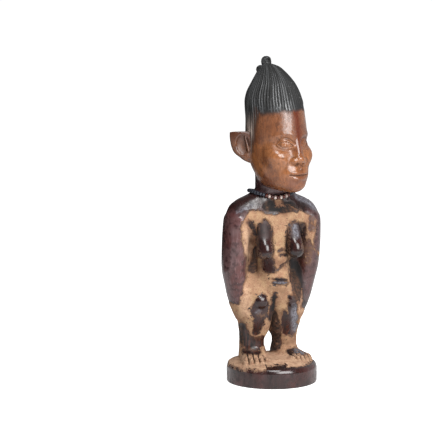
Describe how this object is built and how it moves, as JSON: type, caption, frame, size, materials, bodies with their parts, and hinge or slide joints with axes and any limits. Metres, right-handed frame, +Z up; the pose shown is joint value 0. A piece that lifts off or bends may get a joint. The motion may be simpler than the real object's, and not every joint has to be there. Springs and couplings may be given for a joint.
{
  "type": "ibeji figure",
  "caption": "Carved wooden twin figure standing on a round base, with a tall fluted coiffure, arms at its sides, a turned head and a string of small beads round its neck.",
  "frame": {"origin": "centre of the round base's flat underside", "axes": "+Z up from the underside to the top of the hair; the body faces -Y; +X is the figure's own left, the side to which its head turns"},
  "size_m": [0.0875, 0.0786, 0.278],
  "materials": {
    "carved_wood": "worn glossy dark patina with a matt ochre crust",
    "string": "matt twisted cotton",
    "dark_glass": "opaque, worn gloss",
    "pale_glass": "opaque, worn gloss",
    "red_glass": "opaque, worn gloss"
  },
  "bodies": {
    "root": {"figure": "carved_wood", "necklace_cord": "string", "bead_01": "pale_glass", "bead_02": "red_glass", "bead_03": "pale_glass", "bead_04": "red_glass", "bead_05": "dark_glass", "bead_06": "dark_glass", "bead_07": "dark_glass", "bead_08": "dark_glass", "bead_09": "dark_glass", "bead_10": "dark_glass", "bead_11": "dark_glass", "bead_12": "dark_glass", "bead_13": "dark_glass", "bead_14": "dark_glass", "bead_15": "dark_glass", "bead_16": "dark_glass", "bead_17": "dark_glass", "bead_18": "dark_glass", "bead_19": "dark_glass", "bead_20": "dark_glass", "bead_21": "dark_glass", "bead_22": "dark_glass", "bead_23": "dark_glass", "bead_24": "dark_glass", "bead_25": "dark_glass", "bead_26": "dark_glass", "bead_27": "dark_glass", "bead_28": "dark_glass", "bead_29": "dark_glass", "bead_30": "dark_glass", "bead_31": "dark_glass", "bead_32": "dark_glass", "bead_33": "dark_glass", "bead_34": "dark_glass", "bead_35": "dark_glass", "bead_36": "dark_glass", "bead_37": "dark_glass", "bead_38": "dark_glass", "bead_39": "dark_glass", "bead_40": "red_glass", "bead_41": "pale_glass", "bead_42": "red_glass", "bead_43": "pale_glass", "bead_44": "red_glass"}
  },
  "joints": []
}
